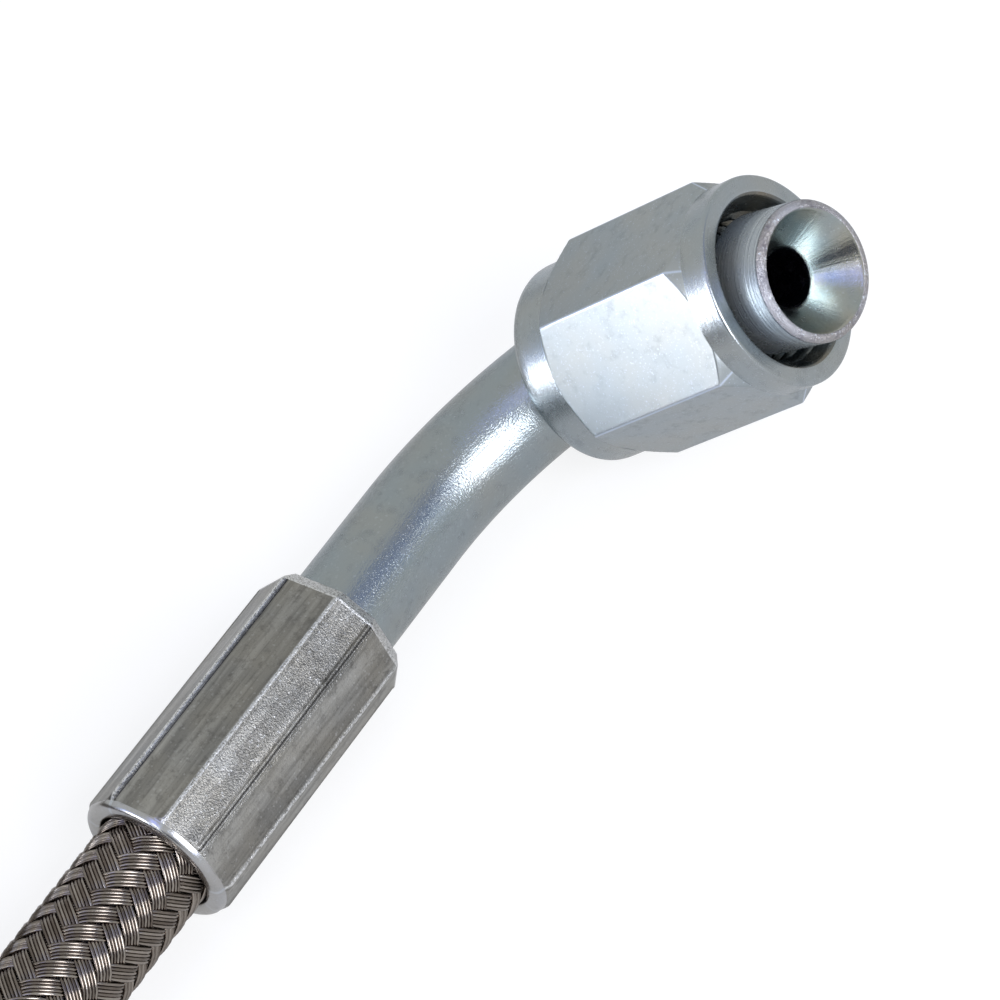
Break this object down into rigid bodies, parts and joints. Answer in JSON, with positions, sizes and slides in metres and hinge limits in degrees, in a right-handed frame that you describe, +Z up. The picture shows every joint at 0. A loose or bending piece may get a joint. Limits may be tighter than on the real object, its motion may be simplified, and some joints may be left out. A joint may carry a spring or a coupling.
{
  "type": "turbo oil feed line",
  "caption": "Steel braided oil feed hose for a turbocharger: crimped swivel nut fittings on a bent and a straight stem, with the hose wound in a neat coil for storage.",
  "frame": {"origin": "on the crimped flat that the bent end's ferrule lies on, in the middle of its width and 10.2 mm behind its nose end", "axes": "+X along the hose and the bent end's ferrule toward its stem, +Z up from the surface that the line lies on, the bent nose points to -Y and up"},
  "size_m": [0.1964, 0.1301, 0.0249],
  "materials": {
    "bright_zinc": "bright clear zinc plating over turned steel, cool blue tint, fine turning lines",
    "satin_stainless": "satin stainless, pressed to flats, granular speckle and lengthwise streaks",
    "braided_stainless": "fine stainless wire braid, brownish grey with dark gaps",
    "white_liner": "smooth white fluoropolymer tube",
    "black_strap": "black nylon strap"
  },
  "bodies": {
    "line": {"elbow_stem": "bright_zinc", "elbow_nipple": "bright_zinc", "elbow_ferrule": "satin_stainless", "elbow_braid_end": "braided_stainless", "elbow_liner_end": "white_liner", "straight_stem": "bright_zinc", "straight_nipple": "bright_zinc", "straight_ferrule": "satin_stainless", "straight_braid_end": "braided_stainless", "straight_liner_end": "white_liner", "hose_run": "braided_stainless", "hose_coil": "braided_stainless", "hose_tail": "braided_stainless", "coil_tie_front": "black_strap", "coil_tie_back": "black_strap"},
    "bent_end_nut": {"elbow_nut": "bright_zinc"},
    "straight_end_nut": {"straight_nut": "bright_zinc"}
  },
  "joints": [
    {"name": "elbow_nut_turn", "type": "hinge", "parent": "line", "child": "bent_end_nut", "pos_m": [0.03944, -0.01991, 0.01865], "axis": [0.2487, -0.8001, 0.5458], "continuous": true},
    {"name": "straight_nut_turn", "type": "hinge", "parent": "line", "child": "straight_end_nut", "pos_m": [0.0794, 0.096, 0.00841], "axis": [1, 0, 0], "continuous": true}
  ]
}
